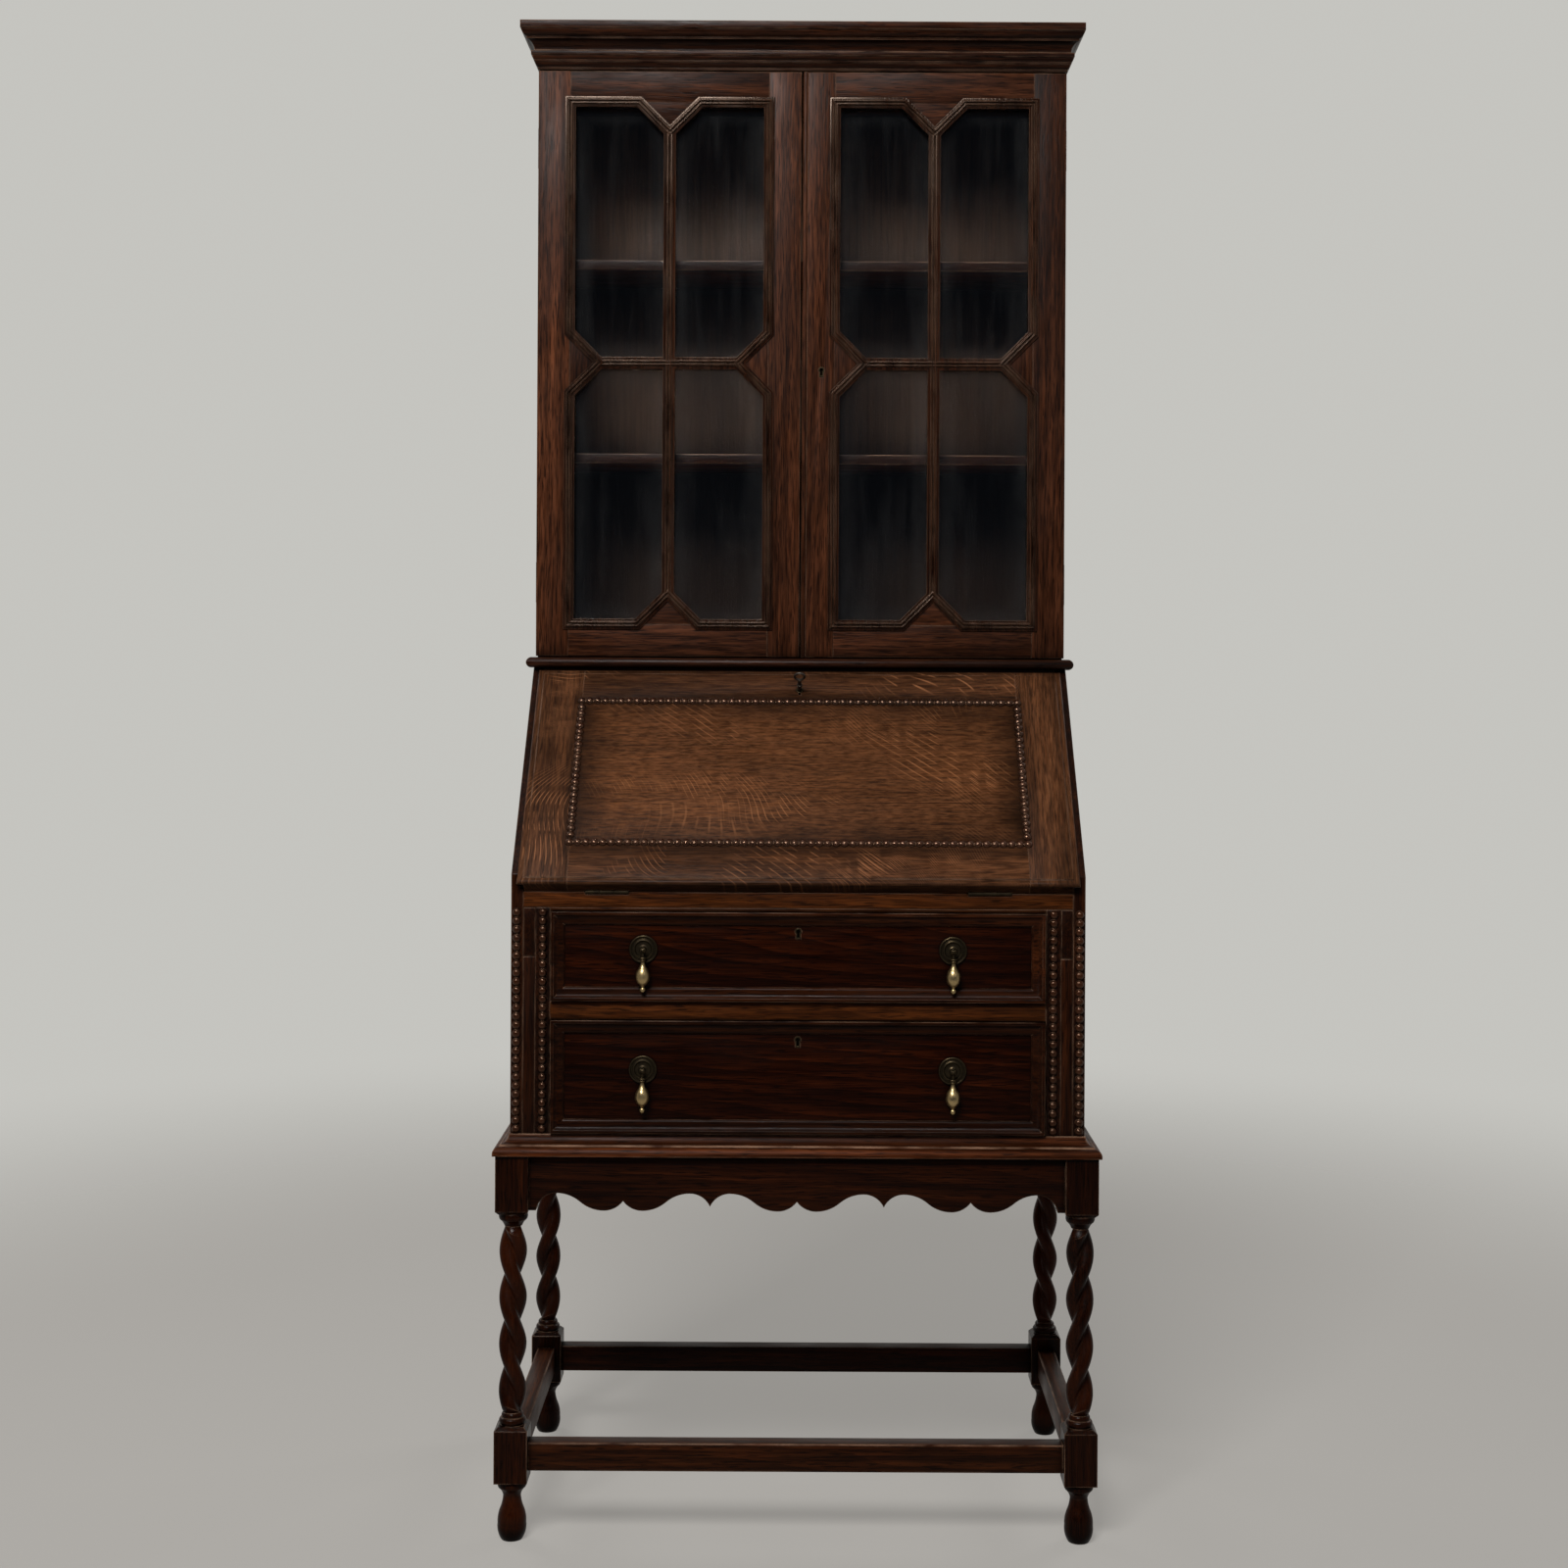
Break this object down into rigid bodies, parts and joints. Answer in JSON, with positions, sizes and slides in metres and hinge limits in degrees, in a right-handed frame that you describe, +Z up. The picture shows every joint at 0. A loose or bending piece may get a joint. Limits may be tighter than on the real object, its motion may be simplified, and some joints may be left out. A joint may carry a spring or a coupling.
{
  "type": "bureau bookcase",
  "caption": "Oak bureau bookcase on a barley-twist stand: glazed bookcase over a sloping fall with pigeonholes, drawers with pear drops and a scalloped apron.",
  "frame": {"origin": "on the floor, midway between the sides and between front and back", "axes": "+X to the right seen from the front, +Y to the back, +Z up"},
  "size_m": [0.698, 0.4, 1.8],
  "materials": {
    "oak_case": "dark waxed oak",
    "oak_stand": "dark waxed oak, worn at the edges",
    "oak_fall": "faded waxed oak with ray fleck",
    "oak_drawer": "dark red-brown waxed oak",
    "oak_lining": "stained inside wood",
    "brass_aged": "tarnished",
    "brass_drop": "rubbed bright",
    "glass": "old flat glass"
  },
  "bodies": {
    "carcass": {"apron_front": "oak_stand", "aprons_side_and_back": "oak_stand", "base_board": "oak_stand", "bookcase_back": "oak_lining", "bookcase_bottom": "oak_case", "bookcase_shelves": "oak_case", "bookcase_side_left": "oak_case", "bookcase_side_right": "oak_case", "bookcase_top": "oak_case", "bureau_back": "oak_lining", "bureau_side_left": "oak_case", "bureau_side_right": "oak_case", "bureau_top": "oak_case", "cornice": "oak_case", "drawer_guides": "oak_lining", "drawer_rails": "oak_case", "drawer_runners": "oak_lining", "hinge_leaves_fixed": "brass_aged", "hinge_pins": "brass_aged", "leg_back_left": "oak_stand", "leg_back_right": "oak_stand", "leg_front_left": "oak_stand", "leg_front_right": "oak_stand", "lock_rail": "oak_lining", "pigeonholes": "oak_lining", "pilaster_beads": "oak_case", "stretcher_back": "oak_stand", "stretcher_front": "oak_stand", "stretchers_side": "oak_stand", "writing_bed": "oak_case"},
    "left_door": {"left_door_frame": "oak_case", "left_door_glazing_bars": "oak_case", "left_door_glass": "glass", "left_door_hinge_leaves": "brass_aged"},
    "right_door": {"right_door_frame": "oak_case", "right_door_glazing_bars": "oak_case", "right_door_glass": "glass", "right_door_hinge_leaves": "brass_aged", "door_lock": "brass_aged"},
    "fall": {"fall_frame": "oak_fall", "fall_panel": "oak_fall", "fall_beads": "oak_fall", "fall_hinge_leaves": "brass_aged", "fall_lock": "brass_aged"},
    "key": {"fall_key": "brass_drop"},
    "bolt": {"fall_lock_bolt": "brass_aged"},
    "loper_left": {"loper_left": "oak_lining"},
    "loper_right": {"loper_right": "oak_lining"},
    "lower_drawer": {"lower_drawer_front": "oak_drawer", "lower_drawer_moulding": "oak_drawer", "lower_drawer_box": "oak_lining", "lower_drawer_fittings": "brass_aged"},
    "lower_left_drop": {"lower_left_drop": "brass_drop"},
    "lower_right_drop": {"lower_right_drop": "brass_drop"},
    "upper_drawer": {"upper_drawer_front": "oak_drawer", "upper_drawer_moulding": "oak_drawer", "upper_drawer_box": "oak_lining", "upper_drawer_fittings": "brass_aged"},
    "upper_left_drop": {"upper_left_drop": "brass_drop"},
    "upper_right_drop": {"upper_right_drop": "brass_drop"}
  },
  "joints": [
    {"name": "left_door_hinge", "type": "hinge", "parent": "carcass", "child": "left_door", "pos_m": [-0.3283, 0.04438, 1.38], "axis": [0, 0, -1], "range_deg": [0, 110]},
    {"name": "right_door_hinge", "type": "hinge", "parent": "carcass", "child": "right_door", "pos_m": [0.3283, 0.04438, 1.38], "axis": [0, 0, 1], "range_deg": [0, 110]},
    {"name": "fall_hinge", "type": "hinge", "parent": "carcass", "child": "fall", "pos_m": [0, -0.1815, 0.744], "axis": [1, 0, 0], "range_deg": [0, 130.7]},
    {"name": "key_turn", "type": "hinge", "parent": "fall", "child": "key", "pos_m": [0, -0.00674, 0.97478], "axis": [0, -0.7581, 0.6521], "range_deg": [0, 90]},
    {"name": "bolt_slide", "type": "slide", "parent": "fall", "child": "bolt", "axis": [0, 0.6521, 0.7581], "range_m": [0, 0.007]},
    {"name": "loper_left_slide", "type": "slide", "parent": "carcass", "child": "loper_left", "axis": [0, -1, 0], "range_m": [0, 0.23]},
    {"name": "loper_right_slide", "type": "slide", "parent": "carcass", "child": "loper_right", "axis": [0, -1, 0], "range_m": [0, 0.23]},
    {"name": "lower_drawer_slide", "type": "slide", "parent": "carcass", "child": "lower_drawer", "axis": [0, -1, 0], "range_m": [0, 0.25]},
    {"name": "lower_left_drop_swing", "type": "hinge", "parent": "lower_drawer", "child": "lower_left_drop", "pos_m": [-0.178, -0.189, 0.53995], "axis": [-1, 0, 0], "range_deg": [0, 80]},
    {"name": "lower_right_drop_swing", "type": "hinge", "parent": "lower_drawer", "child": "lower_right_drop", "pos_m": [0.178, -0.189, 0.53995], "axis": [-1, 0, 0], "range_deg": [0, 80]},
    {"name": "upper_drawer_slide", "type": "slide", "parent": "carcass", "child": "upper_drawer", "axis": [0, -1, 0], "range_m": [0, 0.25]},
    {"name": "upper_left_drop_swing", "type": "hinge", "parent": "upper_drawer", "child": "upper_left_drop", "pos_m": [-0.178, -0.189, 0.6782], "axis": [-1, 0, 0], "range_deg": [0, 80]},
    {"name": "upper_right_drop_swing", "type": "hinge", "parent": "upper_drawer", "child": "upper_right_drop", "pos_m": [0.178, -0.189, 0.6782], "axis": [-1, 0, 0], "range_deg": [0, 80]}
  ],
  "couplings": [
    {"joint": "key_turn", "follows": "bolt_slide", "rad_per_m": 224.4}
  ]
}
